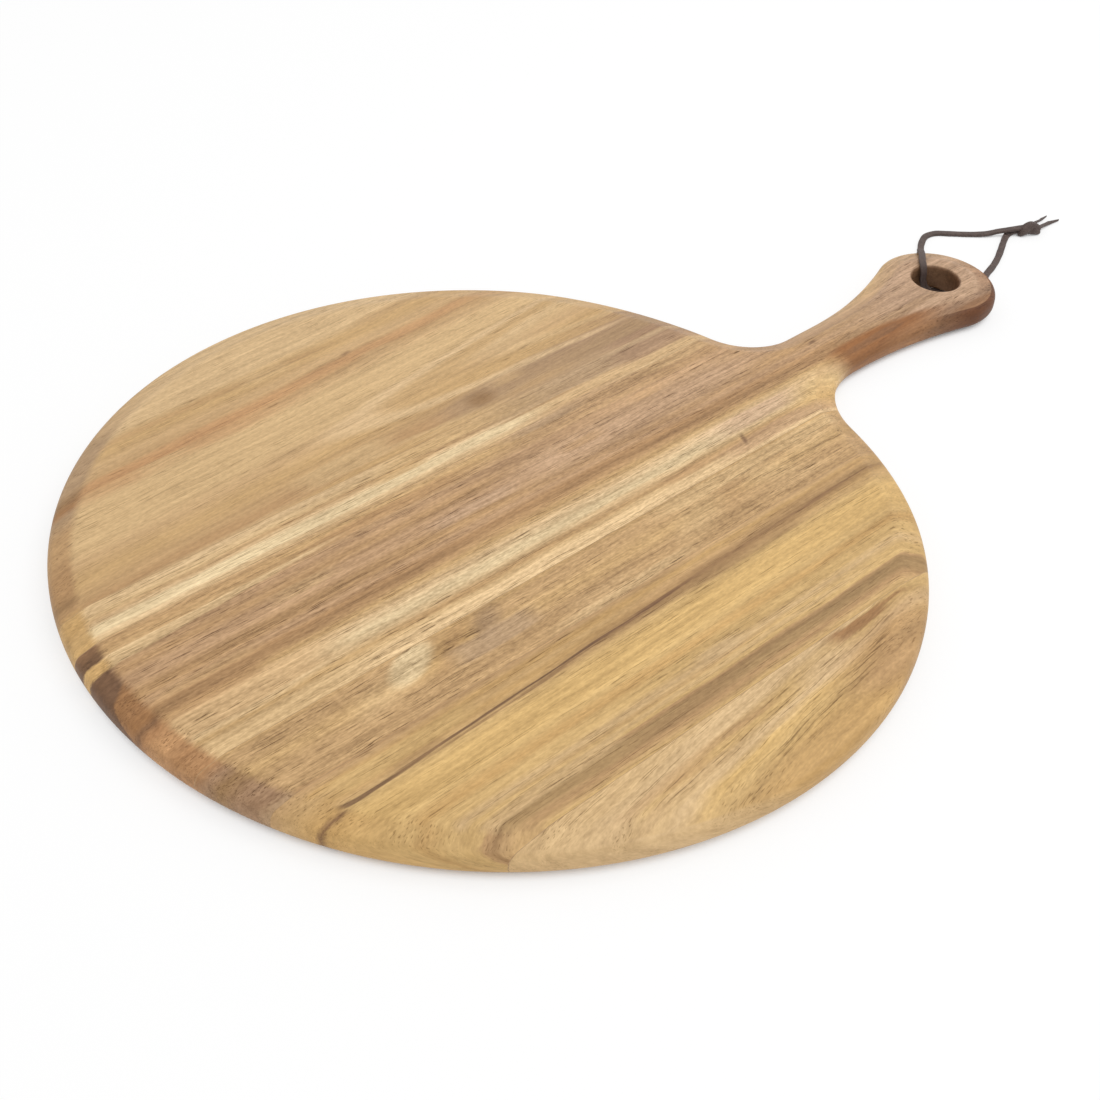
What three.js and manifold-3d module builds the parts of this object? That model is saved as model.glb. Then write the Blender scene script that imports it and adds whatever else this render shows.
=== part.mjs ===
// Round paddle serving board: edge-glued wooden staves with a handle, a hanging hole and a leather thong.
// Millimetres. The origin is the disc's centre on the underside, +X runs along the handle and +Z is up.
import * as THREE from 'three';
import { mergeVertices } from 'three/addons/utils/BufferGeometryUtils.js';
import Module from 'manifold-3d';

const wasm = await Module();
wasm.setup();

// Board outline
const discDiameter = 355;
const handleLength = 153.5; // from the disc's rim to the handle's tip
const boardThickness = 15;
const neckHalfFar = 15.2; // the neck lies a little to the -Y side of the middle line
const neckHalfNear = 18.9;
const neckStraight = 5; // shortest level stretch of the neck
const neckFilletFar = 28; // hollow corner on the +Y side
const neckFilletNear = 46; // hollow corner on the -Y side
const handleEndWidth = 60.4;

// Top edge: a shallow bevel that runs into a rounding, steeper along the neck
const topEdgeHeight = 7.25;
const bevelWidth = 9;
const bevelDrop = 2.4;
const topRoundWidth = 3;
const neckBevelWidth = 8;
const neckBevelDrop = 3.2;
const neckTopRoundWidth = 4;
const neckBevelBlend = 50; // length over which the neck's bevel turns into those beside it
const neckBevelEnd = 10; // from the end of that to the centre of the handle's round end

// Lower edge, as a quarter ellipse
const discUnderRoundWidth = 10;
const discUnderRoundHeight = 7;
const handleUnderRoundWidth = 9;
const handleUnderRoundHeight = 6;
const underRoundBlend = 50; // length over which the disc's lower edge turns into the handle's
const leastEdgeBand = 0.5; // upright band left between the two roundings

// Hanging hole and the planed underside that clears the thong
const holeDiameter = 23.8;
const holeToTip = 32.1;
const holeEdgeRadius = 1.6;
const undersideLift = 2.8; // at the handle's tip
const undersideLiftLength = 116;

// Staves and glue lines, all along the grain
const glueThickness = 0.25;
const handleStockFar = 5.8; // stave left beyond the handle's end on the +Y side
const handleStockNear = 8.8; // and on the -Y side
const farStripWidth = 19;
const nearStripWidth = 30;
const nearBoardWidth = 66;

// Leather thong
const thongWidth = 3.6;
const thongThickness = 1.7;
const thongCorner = 0.5;
const tailWidth = 2.4; // the tails are pared down
const thongGap = 0.3; // between one stretch and the next
const knotLength = 13.2;
const knotWidth = 8.2;
const knotHeight = 7.2;
const knotCentre = [401.0, 9.6, 3.8];
const knotTurn = -44; // degrees about Z

// Facets
const discSteps = 56;
const filletSteps = 8;
const sweepSteps = 7;
const endSteps = 14;
const roundSteps = 5;
const holeSteps = 48;
const holeEdgeSteps = 3;
const cutMargin = 5;

const discRadius = discDiameter / 2;
const tipX = discRadius + handleLength;
const handleEndRadius = handleEndWidth / 2;
const handleEndX = tipX - handleEndRadius;
const bevelEndX = handleEndX - neckBevelEnd;
const holeX = tipX - holeToTip;
const holeRadius = holeDiameter / 2;
const upperEdge = Math.min(topEdgeHeight, (boardThickness - leastEdgeBand) / 2);
const lowerRoundLimit = boardThickness - upperEdge - leastEdgeBand;
const degrees = THREE.MathUtils.degToRad;

const woods = {
  rim_stave_near: 0xd9b47a,
  broad_stave_near: 0xd2a768,
  narrow_stave_near: 0xb98d62,
  handle_stave: 0xbe9468,
  narrow_stave_far: 0xdcc08c,
  broad_stave_far: 0xcaa26c,
};
const finishes = {
  wood: { roughness: 0.5, metalness: 0 },
  glue: { color: 0x8a6440, roughness: 0.6, metalness: 0 },
  leather: { color: 0x5c4a45, roughness: 0.7, metalness: 0 },
};

const board = new THREE.Group();

function addPiece(name, geometry, finish) {
  const mesh = new THREE.Mesh(geometry, new THREE.MeshStandardMaterial(finish));
  mesh.name = name;
  board.add(mesh);
}

// A closed three.js geometry as a solid that can be joined and cut.
function toSolid(geometry) {
  const bare = geometry.clone();
  bare.deleteAttribute('normal');
  bare.deleteAttribute('uv');
  const merged = mergeVertices(bare, 1e-4);
  const index = merged.index.array;
  const triangles = [];
  for (let i = 0; i < index.length; i += 3) {
    const [a, b, c] = [index[i], index[i + 1], index[i + 2]];
    if (a !== b && b !== c && c !== a) triangles.push(a, b, c);
  }
  const vertProperties = new Float32Array(merged.attributes.position.array);
  const triVerts = new Uint32Array(triangles);
  return new wasm.Manifold(new wasm.Mesh({ numProp: 3, vertProperties, triVerts }));
}

function toGeometry(solid) {
  const mesh = solid.getMesh();
  const geometry = new THREE.BufferGeometry();
  geometry.setAttribute('position', new THREE.BufferAttribute(mesh.vertProperties, 3));
  geometry.setIndex(new THREE.BufferAttribute(mesh.triVerts, 1));
  geometry.computeVertexNormals();
  return geometry;
}

// Outline points carry the outward direction, so that an edge can be rounded inwards from them.
function arc(centreX, centreY, radius, from, to, steps, outward) {
  const points = [];
  for (let i = 0; i <= steps; i++) {
    const angle = THREE.MathUtils.lerp(from, to, i / steps);
    const [c, s] = [Math.cos(angle), Math.sin(angle)];
    points.push({ x: centreX + radius * c, y: centreY + radius * s, nx: outward * c, ny: outward * s });
  }
  return points;
}

// End of the hollow corner between disc and neck, measured along the handle.
function filletEnd(fillet, neckHalf) {
  return Math.sqrt((discRadius + fillet) ** 2 - (neckHalf + fillet) ** 2);
}

// Half of the outline, on the +Y side, from the disc's far left to the handle's tip.
function halfOutline(fillet, neckHalf) {
  const filletX = filletEnd(fillet, neckHalf);
  const filletY = neckHalf + fillet;
  const meet = Math.atan2(filletY, filletX);
  const filletEnds = [filletEnd(neckFilletFar, neckHalfFar), filletEnd(neckFilletNear, neckHalfNear)];
  const sweepX = Math.max(...filletEnds) + neckStraight;
  const reach = handleEndX - sweepX;
  const widening = handleEndRadius - neckHalf;
  const sweepRadius = (reach ** 2 + neckHalf ** 2 - handleEndRadius ** 2) / (2 * widening);
  const sweepY = neckHalf + sweepRadius;
  const turn = Math.atan2(sweepY, -reach);
  return [
    ...arc(0, 0, discRadius, Math.PI, meet, discSteps, 1),
    ...arc(filletX, filletY, fillet, meet + Math.PI, 1.5 * Math.PI, filletSteps, -1).slice(1),
    ...arc(sweepX, sweepY, sweepRadius, -Math.PI / 2, turn - Math.PI, sweepSteps, -1),
    ...arc(handleEndX, 0, handleEndRadius, turn, 0, endSteps, 1).slice(1),
  ];
}

function boardOutline() {
  const mirrored = halfOutline(neckFilletNear, neckHalfNear);
  const near = mirrored.map((p) => ({ x: p.x, y: -p.y, nx: p.nx, ny: -p.ny }));
  const far = halfOutline(neckFilletFar, neckHalfFar).reverse();
  return [...near, ...far.slice(1, -1)];
}

// One ring of the lower edge: angle 0 is where it leaves the flat face, a quarter turn is the rim.
function lowerRing(outline, angle) {
  return outline.map((p) => {
    const start = discRadius - underRoundBlend;
    const handleShare = THREE.MathUtils.smoothstep(p.x, start, discRadius);
    const width = THREE.MathUtils.lerp(discUnderRoundWidth, handleUnderRoundWidth, handleShare);
    const height = THREE.MathUtils.lerp(discUnderRoundHeight, handleUnderRoundHeight, handleShare);
    const inset = width * (1 - Math.sin(angle));
    const rise = Math.min(height, lowerRoundLimit) * (1 - Math.cos(angle));
    return [p.x - p.nx * inset, p.y - p.ny * inset, rise];
  });
}

// One ring of the top edge: turn 0 is where bevel and rounding meet, turn 1 the rim, none the flat face.
function upperRing(outline, turn) {
  return outline.map((p) => {
    const leaving = THREE.MathUtils.smoothstep(p.x, discRadius - neckBevelBlend, discRadius);
    const arriving = THREE.MathUtils.smoothstep(p.x, bevelEndX - neckBevelBlend, bevelEndX);
    const neckShare = leaving * (1 - arriving);
    const bevel = THREE.MathUtils.lerp(bevelWidth, neckBevelWidth, neckShare);
    const drop = Math.min(THREE.MathUtils.lerp(bevelDrop, neckBevelDrop, neckShare), upperEdge / 2);
    const width = THREE.MathUtils.lerp(topRoundWidth, neckTopRoundWidth, neckShare);
    if (turn === undefined) {
      const inset = bevel + width;
      return [p.x - p.nx * inset, p.y - p.ny * inset, boardThickness];
    }
    const inset = width * (1 - turn) ** 2;
    const lead = (width * drop) / bevel;
    const fall = drop + 2 * turn * (1 - turn) * lead + turn ** 2 * (upperEdge - drop);
    return [p.x - p.nx * inset, p.y - p.ny * inset, boardThickness - fall];
  });
}

// The whole board as one blank, before it is divided into staves.
function boardBlank() {
  const outline = boardOutline();
  const rings = [];
  for (let i = 0; i <= roundSteps; i++) rings.push(lowerRing(outline, (i / roundSteps) * Math.PI / 2));
  for (let i = roundSteps; i >= 0; i--) rings.push(upperRing(outline, i / roundSteps));
  rings.push(upperRing(outline));
  const count = outline.length;
  const indices = [];
  for (let r = 0; r + 1 < rings.length; r++) {
    for (let i = 0; i < count; i++) {
      const next = (i + 1) % count;
      const [a, b, c, d] = [r * count + i, r * count + next, (r + 1) * count + next, (r + 1) * count + i];
      indices.push(a, b, c, a, c, d);
    }
  }
  const last = (rings.length - 1) * count;
  const flat = (ring) => ring.map(([x, y]) => new THREE.Vector2(x, y));
  for (const [a, b, c] of THREE.ShapeUtils.triangulateShape(flat(rings[0]), [])) indices.push(a, c, b);
  for (const [a, b, c] of THREE.ShapeUtils.triangulateShape(flat(rings[rings.length - 1]), [])) {
    indices.push(last + a, last + b, last + c);
  }
  const geometry = new THREE.BufferGeometry();
  geometry.setAttribute('position', new THREE.Float32BufferAttribute(rings.flat(2), 3));
  geometry.setIndex(indices);
  return toSolid(geometry);
}

// Cutter for the hanging hole, with eased edges on both faces.
function holeCutter() {
  const underside = undersideLift * (1 - holeToTip / undersideLiftLength);
  const wide = holeRadius + holeEdgeRadius;
  const profile = [new THREE.Vector2(0, -cutMargin), new THREE.Vector2(wide, -cutMargin)];
  for (let i = 0; i <= holeEdgeSteps; i++) {
    const angle = (i / holeEdgeSteps) * Math.PI / 2;
    const level = underside + holeEdgeRadius * (1 - Math.cos(angle));
    profile.push(new THREE.Vector2(wide - holeEdgeRadius * Math.sin(angle), level));
  }
  for (let i = holeEdgeSteps; i >= 0; i--) {
    const angle = (i / holeEdgeSteps) * Math.PI / 2;
    const level = boardThickness - holeEdgeRadius * (1 - Math.cos(angle));
    profile.push(new THREE.Vector2(wide - holeEdgeRadius * Math.sin(angle), level));
  }
  profile.push(new THREE.Vector2(wide, boardThickness + cutMargin));
  profile.push(new THREE.Vector2(0, boardThickness + cutMargin));
  const geometry = new THREE.LatheGeometry(profile, holeSteps);
  return toSolid(geometry.rotateX(Math.PI / 2).translate(holeX, 0, 0));
}

// Wedge that planes the handle's underside up towards its tip.
function undersideCutter() {
  const startX = tipX - undersideLiftLength;
  const slope = undersideLift / undersideLiftLength;
  const wedge = new THREE.Shape();
  wedge.moveTo(startX, 0);
  wedge.lineTo(startX, -cutMargin);
  wedge.lineTo(tipX + cutMargin, -cutMargin);
  wedge.lineTo(tipX + cutMargin, undersideLift + slope * cutMargin);
  const depth = handleEndWidth + 2 * cutMargin;
  const geometry = new THREE.ExtrudeGeometry(wedge, { depth, bevelEnabled: false });
  return toSolid(geometry.rotateX(Math.PI / 2).translate(0, depth / 2, 0));
}

function slab(fromY, toY) {
  const length = tipX + discRadius + 2 * cutMargin;
  const height = boardThickness + 2 * cutMargin;
  const box = new THREE.BoxGeometry(length, toY - fromY, height);
  box.translate((tipX - discRadius) / 2, (fromY + toY) / 2, boardThickness / 2);
  return toSolid(box);
}

// Divides the blank along the grain into staves, with a film of glue in each joint.
function addStaves() {
  const blank = boardBlank().subtract(undersideCutter()).subtract(holeCutter());
  const handleNear = -handleEndRadius - handleStockNear;
  const handleFar = handleEndRadius + handleStockFar;
  const joints = [
    ['glue_line_1', handleNear - nearStripWidth - nearBoardWidth],
    ['glue_line_2', handleNear - nearStripWidth],
    ['glue_line_3', handleNear],
    ['glue_line_4', handleFar],
    ['glue_line_5', handleFar + farStripWidth],
  ];
  let from = -discRadius - cutMargin;
  Object.entries(woods).forEach(([name, color], i) => {
    const last = i === joints.length;
    const to = last ? discRadius + cutMargin : joints[i][1] - glueThickness / 2;
    addPiece(name, toGeometry(blank.intersect(slab(from, to))), { color, ...finishes.wood });
    if (last) return;
    from = to + glueThickness;
    addPiece(joints[i][0], toGeometry(blank.intersect(slab(to, from))), finishes.glue);
  });
}

// The thong's loop, from the knot over the handle, down the hole, under the tip and back to the knot.
// Each point has the direction of the thong's width, in degrees from +X.
const overRoute = [
  [395.0, 13.6, 4.2, 57],
  [390.5, 16.6, 3.4, 60],
  [386.0, 19.8, 2.6, 60],
  [381.3, 22.6, 1.7, 58],
  [376.4, 26.1, 1.3, 57],
  [370.4, 31.2, 1.05, 52],
  [364.2, 36.8, 1.0, 50],
  [358.7, 41.3, 1.0, 65],
  [352.0, 42.6, 1.0, 92],
  [344.4, 39.7, 1.0, 110],
  [337.4, 35.2, 1.0, 121],
  [332.0, 31.2, 1.0, 130],
  [327.6, 28.5, 1.6, 134],
  [323.9, 27.1, 3.1, 134],
];
const wrapRoute = [
  [320.8, 26.5, 5.4, 136],
  [320.2, 26.0, 8.2, 138],
  [319.6, 25.4, 11.2, 138],
  [317.0, 23.1, 13.8, 138],
  [312.9, 19.5, 15.3, 136],
  [308.6, 16.1, 16.1, 138],
  [304.9, 13.2, 16.3, 143],
  [302.4, 10.5, 15.5, 148],
  [301.8, 9.3, 12.6, 156],
  [302.0, 8.9, 8.8, 152],
  [302.8, 7.9, 5.6, 136],
  [304.4, 6.8, 3.0, 104],
  [307.0, 5.8, 1.4, 74],
  [311.5, 4.6, 1.0, 64],
  [318.0, 1.6, 1.0, 62],
  [324.6, -1.9, 1.0, 64],
  [329.6, -4.2, 1.0, 68],
  [333.6, -5.4, 1.0, 80],
];
const underRoute = [
  [338.0, -4.8, 1.0, 92],
  [345.8, -1.8, 1.0, 106],
  [354.4, 0.6, 1.0, 109],
  [362.8, 3.6, 1.0, 111],
  [371.2, 7.4, 1.0, 114],
  [378.7, 11.1, 1.0, 115],
  [385.2, 14.2, 1.0, 112],
  [390.0, 15.9, 1.1, 94],
  [393.2, 15.8, 1.4, 80],
  [396.0, 14.3, 2.0, 64],
];
const tailLongRoute = [
  [406.9, 7.5, 3.4, 92],
  [410.8, 8.4, 2.4, 95],
  [415.4, 8.9, 1.6, 92],
  [420.8, 9.1, 1.05, 88],
  [427.2, 8.6, 1.0, 84],
];
const tailShortRoute = [
  [406.1, 10.8, 4.75, 96],
  [410.4, 11.9, 3.6, 98],
  [415.0, 12.8, 2.3, 99],
  [420.4, 14.0, 1.3, 101],
  [425.2, 15.0, 1.0, 103],
];

// A thong's whole centreline, with the direction of its width at every place.
class ThongPath extends THREE.CatmullRomCurve3 {
  constructor(route) {
    super(route.map(([x, y, z]) => new THREE.Vector3(x, y, z)), false, 'centripetal');
    this.sides = route.map((point) => point[3]);
  }

  lengthTo(pointIndex) {
    const finer = 20;
    return this.getLengths((this.points.length - 1) * finer)[pointIndex * finer];
  }

  acrossAt(u, tangent) {
    const place = this.getUtoTmapping(u) * (this.sides.length - 1);
    const step = Math.min(Math.floor(place), this.sides.length - 2);
    const turn = degrees(THREE.MathUtils.lerp(this.sides[step], this.sides[step + 1], place - step));
    return new THREE.Vector3(Math.cos(turn), Math.sin(turn), 0).projectOnPlane(tangent).normalize();
  }
}

// The stretch of a thong between two distances along its path, laid as flat as the path says.
class ThongStretch extends THREE.Curve {
  constructor(path, from, to) {
    super();
    this.path = path;
    this.from = from / path.getLength();
    this.to = to / path.getLength();
  }

  getPoint(t) {
    return this.path.getPointAt(THREE.MathUtils.lerp(this.from, this.to, t));
  }

  computeFrenetFrames(steps) {
    const frames = { tangents: [], normals: [], binormals: [] };
    for (let i = 0; i <= steps; i++) {
      const u = THREE.MathUtils.lerp(this.from, this.to, i / steps);
      const tangent = this.path.getTangentAt(u);
      const across = this.path.acrossAt(u, tangent);
      frames.tangents.push(tangent);
      frames.normals.push(new THREE.Vector3().crossVectors(across, tangent));
      frames.binormals.push(across);
    }
    return frames;
  }
}

function thongSection(width) {
  const [t, w] = [thongThickness / 2, width / 2];
  const section = new THREE.Shape();
  section.moveTo(t, -w + thongCorner);
  section.lineTo(t, w - thongCorner);
  section.lineTo(t - thongCorner, w);
  section.lineTo(-t + thongCorner, w);
  section.lineTo(-t, w - thongCorner);
  section.lineTo(-t, -w + thongCorner);
  section.lineTo(-t + thongCorner, -w);
  section.lineTo(t - thongCorner, -w);
  return section;
}

function addStretch(name, path, width, from, to, steps) {
  const options = { steps, extrudePath: new ThongStretch(path, from, to), bevelEnabled: false };
  const geometry = new THREE.ExtrudeGeometry(thongSection(width), options);
  addPiece(name, toGeometry(toSolid(geometry)), finishes.leather);
}

function addThong() {
  const loop = new ThongPath([...overRoute, ...wrapRoute, ...underRoute]);
  const overEdge = loop.lengthTo(overRoute.length);
  const tipEdge = loop.lengthTo(overRoute.length + wrapRoute.length - 1);
  const half = thongGap / 2;
  addStretch('thong_over', loop, thongWidth, 0, overEdge - half, 28);
  addStretch('thong_wrap', loop, thongWidth, overEdge + half, tipEdge - half, 34);
  addStretch('thong_under', loop, thongWidth, tipEdge + half, loop.getLength(), 14);
  const longTail = new ThongPath(tailLongRoute);
  const shortTail = new ThongPath(tailShortRoute);
  addStretch('thong_tail_long', longTail, tailWidth, 0, longTail.getLength(), 8);
  addStretch('thong_tail_short', shortTail, tailWidth, 0, shortTail.getLength(), 8);
  const knot = new THREE.SphereGeometry(0.5, 20, 12).scale(knotLength, knotWidth, knotHeight);
  knot.rotateZ(degrees(knotTurn)).translate(...knotCentre);
  addPiece('thong_knot', toGeometry(toSolid(knot)), finishes.leather);
}

addStaves();
addThong();

export default board;
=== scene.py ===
import math

import bmesh
import bpy
from mathutils import Matrix, Vector


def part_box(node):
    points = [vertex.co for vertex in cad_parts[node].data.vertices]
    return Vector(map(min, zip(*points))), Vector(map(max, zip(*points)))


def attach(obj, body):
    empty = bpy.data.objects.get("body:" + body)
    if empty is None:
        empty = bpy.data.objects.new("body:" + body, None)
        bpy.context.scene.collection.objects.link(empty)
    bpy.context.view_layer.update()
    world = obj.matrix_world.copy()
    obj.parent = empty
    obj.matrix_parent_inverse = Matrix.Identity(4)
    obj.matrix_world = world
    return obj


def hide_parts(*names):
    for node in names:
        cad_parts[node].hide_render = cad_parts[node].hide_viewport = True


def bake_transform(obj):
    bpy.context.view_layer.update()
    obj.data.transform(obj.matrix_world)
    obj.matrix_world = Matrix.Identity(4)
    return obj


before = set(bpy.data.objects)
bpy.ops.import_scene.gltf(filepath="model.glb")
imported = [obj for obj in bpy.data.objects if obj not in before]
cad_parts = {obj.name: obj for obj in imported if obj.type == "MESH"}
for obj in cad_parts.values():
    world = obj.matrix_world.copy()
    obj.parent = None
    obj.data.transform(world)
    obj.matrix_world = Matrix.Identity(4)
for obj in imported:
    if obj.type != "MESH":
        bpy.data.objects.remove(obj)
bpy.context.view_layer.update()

scene = bpy.context.scene
scene.view_settings.view_transform = "Standard"
print("frame loaded:", len(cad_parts), "nodes")

# Camera, solved from the disc's outline and the grain
photoCamera = {
    "aim": (0.00726, -0.02543, 0.008),
    "distance": 0.69166,
    "azimuth": -46.343,  # degrees from -Y
    "elevation": 40.081,
    "roll": 4.641,
    "focalPixels": 1707.9,
    "imagePixels": 1100,
    "sensorWidth": 36.0,
    "clipStart": 0.01,
}


def placeCamera():
    azimuth = math.radians(photoCamera["azimuth"])
    elevation = math.radians(photoCamera["elevation"])
    level = math.cos(elevation)
    back = Vector((math.sin(azimuth) * level, -math.cos(azimuth) * level, math.sin(elevation)))
    right = Vector((math.cos(azimuth), math.sin(azimuth), 0))
    up = back.cross(right)
    turn = Matrix((right, up, back)).transposed().to_4x4()
    roll = Matrix.Rotation(math.radians(photoCamera["roll"]), 4, "Z")
    lens = bpy.data.cameras.new("photoCamera")
    lens.sensor_width = photoCamera["sensorWidth"]
    lens.lens = photoCamera["sensorWidth"] * photoCamera["focalPixels"] / photoCamera["imagePixels"]
    lens.clip_start = photoCamera["clipStart"]
    camera = bpy.data.objects.new("photoCamera", lens)
    stand = Vector(photoCamera["aim"]) + back * photoCamera["distance"]
    camera.matrix_world = Matrix.Translation(stand) @ turn @ roll
    scene.collection.objects.link(camera)
    scene.camera = camera


placeCamera()
print("camera placed")


# Mesh helpers
def makeObject(name, shape):
    bmesh.ops.recalc_face_normals(shape, faces=shape.faces)
    mesh = bpy.data.meshes.new(name)
    shape.to_mesh(mesh)
    shape.free()
    piece = bpy.data.objects.new(name, mesh)
    scene.collection.objects.link(piece)
    return piece


def shadeSmooth(piece, sharpAngle):
    mesh = piece.data
    mesh.polygons.foreach_set("use_smooth", [True] * len(mesh.polygons))
    mesh.set_sharp_from_angle(angle=math.radians(sharpAngle))


def smoothStep(value, start, stop):
    share = min(max((value - start) / (stop - start), 0), 1)
    return share * share * (3 - 2 * share)


def joinRings(shape, rings):
    loops = [[shape.verts.new(place) for place in ring] for ring in rings]
    count = len(loops[0])
    for below, above in zip(loops, loops[1:]):
        for i in range(count):
            j = (i + 1) % count
            shape.faces.new((below[i], below[j], above[j], above[i]))
    shape.faces.new(list(reversed(loops[0])))
    shape.faces.new(loops[-1])


# Leather thong. Each route point is x, y, z and the direction of the width in degrees, as in the CAD.
thong = {
    "width": 0.0036,
    "thickness": 0.0017,
    "corner": 0.0006,
    "cornerLimit": 2.2,  # a thin lace's thickness over its corner
    "longTail": (0.0024, 0.0013),  # width and thickness
    "shortTail": (0.0016, 0.0011),
    "tailCut": 0.22,  # share of a tail's length over which its tip is cut to a point
    "tailPoint": 0.15,
    "cornerSteps": 4,
    "stepsPerSpan": 10,
    "edgeWobble": 0.00008,
    "quickWave": 0.61,  # radians per step
    "slowWave": 0.23,
    "sharpAngle": 50,  # degrees
    "bendLength": 0.010,  # stretch beside the handle
    "over": [
        (0.3986, 0.0116, 0.0046, 57), (0.395, 0.0136, 0.0042, 57), (0.3905, 0.0166, 0.0034, 60),
        (0.386, 0.0198, 0.0026, 60), (0.3813, 0.0226, 0.0017, 58), (0.3764, 0.0261, 0.0013, 57),
        (0.3704, 0.0312, 0.00105, 52), (0.3642, 0.0368, 0.001, 50), (0.3587, 0.0413, 0.001, 65),
        (0.352, 0.0426, 0.001, 92), (0.3444, 0.0397, 0.001, 110), (0.3374, 0.0352, 0.001, 121),
        (0.332, 0.0312, 0.001, 130), (0.3276, 0.0285, 0.0016, 134), (0.3246, 0.0270, 0.0031, 134),
    ],
    "wrap": [
        (0.3220, 0.0262, 0.0054, 136), (0.3213, 0.0255, 0.0082, 138), (0.3204, 0.0249, 0.0112, 138),
        (0.317, 0.0231, 0.0138, 138), (0.3129, 0.0195, 0.0153, 136), (0.3086, 0.0161, 0.0161, 138),
        (0.3049, 0.0132, 0.0163, 143), (0.3024, 0.0105, 0.0155, 148), (0.3018, 0.0093, 0.0126, 156),
        (0.302, 0.0089, 0.0088, 152), (0.3028, 0.0079, 0.0056, 136), (0.3044, 0.0068, 0.003, 104),
        (0.307, 0.0058, 0.0014, 74), (0.3115, 0.0046, 0.001, 64), (0.318, 0.0016, 0.001, 62),
        (0.3246, -0.0019, 0.001, 64), (0.3296, -0.0042, 0.001, 68), (0.3336, -0.0054, 0.001, 80),
    ],
    "under": [
        (0.338, -0.0048, 0.001, 92), (0.3458, -0.0018, 0.001, 106), (0.3544, 0.0006, 0.001, 109),
        (0.3628, 0.0036, 0.001, 111), (0.3712, 0.0074, 0.001, 114), (0.3787, 0.0111, 0.001, 115),
        (0.3852, 0.0142, 0.001, 112), (0.39, 0.0159, 0.0011, 94), (0.3932, 0.0158, 0.0014, 80),
        (0.396, 0.0143, 0.002, 64), (0.399, 0.0118, 0.003, 60),
    ],
    "longTailRoute": [
        (0.4034, 0.0076, 0.0039, 90), (0.4069, 0.0075, 0.0034, 92), (0.4108, 0.0084, 0.0024, 95),
        (0.4154, 0.0089, 0.0016, 92), (0.4208, 0.0091, 0.00105, 88), (0.4272, 0.0086, 0.001, 84),
    ],
    "shortTailRoute": [
        (0.4028, 0.0098, 0.0052, 96), (0.4061, 0.0108, 0.00475, 96), (0.4104, 0.0119, 0.0036, 98),
        (0.415, 0.0128, 0.0023, 99), (0.4204, 0.014, 0.0013, 101), (0.4252, 0.015, 0.001, 103),
    ],
}


# Smooth line through the points, centripetal as the CAD draws it
def smoothLine(points, steps):
    ends = [points[0] * 2 - points[1], *points, points[-1] * 2 - points[-2]]
    line = []
    for p0, p1, p2, p3 in zip(ends, ends[1:], ends[2:], ends[3:]):
        d0 = math.sqrt((p1 - p0).length)
        d1 = math.sqrt((p2 - p1).length)
        d2 = math.sqrt((p3 - p2).length)
        m1 = ((p1 - p0) / d0 - (p2 - p0) / (d0 + d1) + (p2 - p1) / d1) * d1
        m2 = ((p2 - p1) / d1 - (p3 - p1) / (d1 + d2) + (p3 - p2) / d2) * d1
        for step in range(steps):
            t = step / steps
            rise = (p2 - p1) * (3 * t * t - 2 * t ** 3)
            line.append(p1 + rise + m1 * (t - 2 * t * t + t ** 3) + m2 * (t ** 3 - t * t))
    return [*line, points[-1].copy()]


def laceSection(width, thickness):
    corner = min(thong["corner"], thickness / thong["cornerLimit"])
    width = width / 2 - corner
    thick = thickness / 2 - corner
    steps = thong["cornerSteps"]
    section = []
    for quarter, (a, b) in enumerate(((1, 1), (-1, 1), (-1, -1), (1, -1))):
        for i in range(steps + 1):
            angle = (quarter + i / steps) * math.pi / 2
            section.append((a * thick + corner * math.cos(angle), b * width + corner * math.sin(angle)))
    return section


# Rings of the lace along a route, laid as flat as the route says; a tail ends in a slanting cut
def laceRings(route, width, thickness, cut=False):
    steps = thong["stepsPerSpan"]
    line = smoothLine([Vector(point[:3]) for point in route], steps)
    section = laceSection(width, thickness)
    rings = []
    for i, place in enumerate(line):
        tangent = (line[min(i + 1, len(line) - 1)] - line[max(i - 1, 0)]).normalized()
        span = min(i // steps, len(route) - 2)
        share = i / steps - span
        turn = math.radians(route[span][3] * (1 - share) + route[span + 1][3] * share)
        across = Vector((math.cos(turn), math.sin(turn), 0))
        across = (across - tangent * across.dot(tangent)).normalized()
        normal = across.cross(tangent)
        waves = math.sin(i * thong["quickWave"]) + math.sin(i * thong["slowWave"] + 1)
        narrow = 1 - thong["edgeWobble"] / width * (1 + waves)
        slant = max(0, i / (len(line) - 1) - 1 + thong["tailCut"]) / thong["tailCut"] if cut else 0
        narrow *= 1 - slant * (1 - thong["tailPoint"])
        middle = place - across * (slant * (1 - thong["tailPoint"]) * width / 2)
        rings.append([middle + normal * n + across * (b * narrow) for n, b in section])
    return line, rings


def addLace(name, rings, node):
    shape = bmesh.new()
    joinRings(shape, rings)
    piece = makeObject(name, shape)
    shadeSmooth(piece, thong["sharpAngle"])
    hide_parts(node)
    return piece


# Overhand knot of the doubled lace, as the open trefoil line, pulled tight into one lump
knot = {
    "centre": (0.4010, 0.0096, 0.0038),
    "turn": -44,  # degrees about Z
    "size": (0.0134, 0.0086, 0.0076),
    "endParameter": 1.9,
    "lineScale": (0.00040, 0.00098, 0.00072),
    "heightMiddle": 1.7,
    "strandRadius": 0.00165,
    "strandOffset": 0.00070,
    "strandTilt": 0.5,  # share by which the doubled lace leans out from the knot's middle
    "lineSteps": 90,
    "sectionSteps": 12,
    "voxel": 0.00020,
    "smoothing": 3,
    "sharpAngle": 60,
}


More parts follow.
